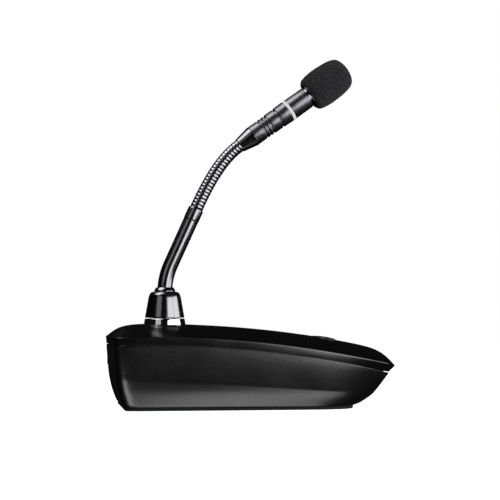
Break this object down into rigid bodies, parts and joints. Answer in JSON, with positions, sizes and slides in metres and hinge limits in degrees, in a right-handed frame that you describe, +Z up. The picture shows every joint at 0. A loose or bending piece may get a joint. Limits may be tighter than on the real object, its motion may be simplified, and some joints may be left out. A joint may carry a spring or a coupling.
{
  "type": "gooseneck podium microphone",
  "caption": "Wireless desktop base with a plug-in gooseneck microphone, foam windscreen, mute bar, power slider and battery door.",
  "frame": {"origin": "on the table, under the middle of the base's outline", "axes": "+X to the front, where the mute button is; +Y to the left; +Z up. The gooseneck stands at the rear and leans to the front"},
  "size_m": [0.1252, 0.076, 0.1571],
  "materials": {
    "satin_black_plastic": "fine satin spark texture",
    "black_nickel_plate": "polished black nickel",
    "black_anodised_aluminium": "satin black anodising",
    "flexible_conduit_steel": "black oxide, polished crests",
    "chrome_plate": "mirror",
    "soft_rubber": "matt",
    "bare_steel": "zinc plated",
    "contact_brass": "gold flash",
    "circuit_board": "solder mask",
    "black_moulding": "matt",
    "battery_sleeve": "shrink film",
    "light_diffuser": "frosted",
    "smoked_lens": "smoked, polished",
    "infrared_filter": "polished, dark",
    "cable_jacket": "matt",
    "open_cell_foam": "open-cell foam"
  },
  "bodies": {
    "base": {"top_cover": "satin_black_plastic", "lower_housing": "satin_black_plastic", "base_pad": "soft_rubber", "ballast_plate": "bare_steel", "main_board": "circuit_board", "radio_shield": "bare_steel", "antenna_board": "circuit_board", "battery_pack": "battery_sleeve", "battery_contact_plus": "contact_brass", "battery_contact_minus": "contact_brass", "mute_switch": "black_moulding", "status_light": "smoked_lens", "battery_light": "smoked_lens", "link_light": "smoked_lens", "power_switch_body": "black_moulding", "charge_contact_left": "contact_brass", "charge_contact_right": "contact_brass", "socket_shell": "bare_steel", "socket_insert": "black_moulding", "chrome_ring": "chrome_plate", "case_screw_1": "bare_steel", "case_screw_2": "bare_steel", "case_screw_3": "bare_steel", "case_screw_4": "bare_steel", "infrared_window": "infrared_filter"},
    "mute_button": {"mute_button": "satin_black_plastic"},
    "power_slider": {"power_slider": "satin_black_plastic"},
    "battery_door": {"battery_door": "satin_black_plastic"},
    "stem": {"plug_shell": "bare_steel", "plug_pins": "contact_brass", "neck_boot": "black_nickel_plate", "boot_collar": "black_nickel_plate", "neck_tube": "black_nickel_plate", "stem_lead": "cable_jacket", "lower_ferrule": "black_nickel_plate"},
    "link_01": {"neck_link_01": "flexible_conduit_steel"},
    "link_02": {"neck_link_02": "flexible_conduit_steel"},
    "link_03": {"neck_link_03": "flexible_conduit_steel"},
    "link_04": {"neck_link_04": "flexible_conduit_steel"},
    "link_05": {"neck_link_05": "flexible_conduit_steel"},
    "link_06": {"neck_link_06": "flexible_conduit_steel"},
    "link_07": {"neck_link_07": "flexible_conduit_steel"},
    "link_08": {"neck_link_08": "flexible_conduit_steel"},
    "link_09": {"neck_link_09": "flexible_conduit_steel"},
    "link_10": {"neck_link_10": "flexible_conduit_steel"},
    "link_11": {"neck_link_11": "flexible_conduit_steel"},
    "head": {"upper_ferrule": "black_nickel_plate", "grip_sleeve": "black_anodised_aluminium", "lamp_holder": "black_anodised_aluminium", "light_ring": "light_diffuser", "capsule_housing": "black_anodised_aluminium", "capsule_collar": "black_moulding", "capsule_grille": "bare_steel", "capsule": "bare_steel", "preamp_board": "circuit_board", "head_lead": "cable_jacket"},
    "windscreen": {"windscreen": "open_cell_foam"}
  },
  "joints": [
    {"name": "microphone_unplug", "type": "slide", "parent": "base", "child": "stem", "axis": [0, 0, 1], "range_m": [0, 0.015]},
    {"name": "mute_press", "type": "slide", "parent": "base", "child": "mute_button", "axis": [0, 0, -1], "range_m": [0, 0.0008], "stiffness_N_per_m": 400, "springref_m": -0.0008},
    {"name": "power_slide", "type": "slide", "parent": "base", "child": "power_slider", "axis": [0, 1, 0], "range_m": [0, 0.004]},
    {"name": "battery_door_hinge", "type": "hinge", "parent": "base", "child": "battery_door", "pos_m": [-0.0226, 0, 0.00245], "axis": [0, 1, 0], "range_deg": [0, 100]},
    {"name": "neck_bend", "type": "hinge", "parent": "stem", "child": "link_01", "pos_m": [-0.0228, 0, 0.08981], "axis": [0, 1, 0], "range_deg": [-10, 10]},
    {"name": "neck_sway", "type": "hinge", "parent": "link_01", "child": "link_02", "pos_m": [-0.02156, 0, 0.09245], "axis": [0.9013, 0, -0.4332], "range_deg": [-10, 10]},
    {"name": "neck_bend_2", "type": "hinge", "parent": "link_02", "child": "link_03", "pos_m": [-0.02027, 0, 0.09507], "axis": [0, 1, 0], "range_deg": [-10, 10]},
    {"name": "neck_sway_2", "type": "hinge", "parent": "link_03", "child": "link_04", "pos_m": [-0.01893, 0, 0.09766], "axis": [0.8838, 0, -0.4678], "range_deg": [-10, 10]},
    {"name": "neck_bend_3", "type": "hinge", "parent": "link_04", "child": "link_05", "pos_m": [-0.01754, 0, 0.10022], "axis": [0, 1, 0], "range_deg": [-10, 10]},
    {"name": "neck_sway_3", "type": "hinge", "parent": "link_05", "child": "link_06", "pos_m": [-0.01607, 0, 0.10274], "axis": [0.8569, 0, -0.5155], "range_deg": [-10, 10]},
    {"name": "neck_bend_4", "type": "hinge", "parent": "link_06", "child": "link_07", "pos_m": [-0.01452, 0, 0.10521], "axis": [0, 1, 0], "range_deg": [-10, 10]},
    {"name": "neck_sway_4", "type": "hinge", "parent": "link_07", "child": "link_08", "pos_m": [-0.01288, 0, 0.10762], "axis": [0.8129, 0, -0.5825], "range_deg": [-10, 10]},
    {"name": "neck_bend_5", "type": "hinge", "parent": "link_08", "child": "link_09", "pos_m": [-0.01112, 0, 0.10995], "axis": [0, 1, 0], "range_deg": [-10, 10]},
    {"name": "neck_sway_5", "type": "hinge", "parent": "link_09", "child": "link_10", "pos_m": [-0.00923, 0, 0.11217], "axis": [0.7409, 0, -0.6717], "range_deg": [-10, 10]},
    {"name": "neck_bend_6", "type": "hinge", "parent": "link_10", "child": "link_11", "pos_m": [-0.0072, 0, 0.11426], "axis": [0, 1, 0], "range_deg": [-10, 10]},
    {"name": "neck_sway_6", "type": "hinge", "parent": "link_11", "child": "head", "pos_m": [-0.005, 0, 0.11618], "axis": [0.6256, 0, -0.7802], "range_deg": [-10, 10]},
    {"name": "windscreen_pull", "type": "slide", "parent": "head", "child": "windscreen", "axis": [0.809, 0, 0.5878], "range_m": [0, 0.022]}
  ],
  "couplings": [
    {"joint": "neck_bend_2", "follows": "neck_bend", "ratio": 1},
    {"joint": "neck_sway_2", "follows": "neck_sway", "ratio": 1},
    {"joint": "neck_bend_3", "follows": "neck_bend", "ratio": 1},
    {"joint": "neck_sway_3", "follows": "neck_sway", "ratio": 1},
    {"joint": "neck_bend_4", "follows": "neck_bend", "ratio": 1},
    {"joint": "neck_sway_4", "follows": "neck_sway", "ratio": 1},
    {"joint": "neck_bend_5", "follows": "neck_bend", "ratio": 1},
    {"joint": "neck_sway_5", "follows": "neck_sway", "ratio": 1},
    {"joint": "neck_bend_6", "follows": "neck_bend", "ratio": 1},
    {"joint": "neck_sway_6", "follows": "neck_sway", "ratio": 1}
  ]
}
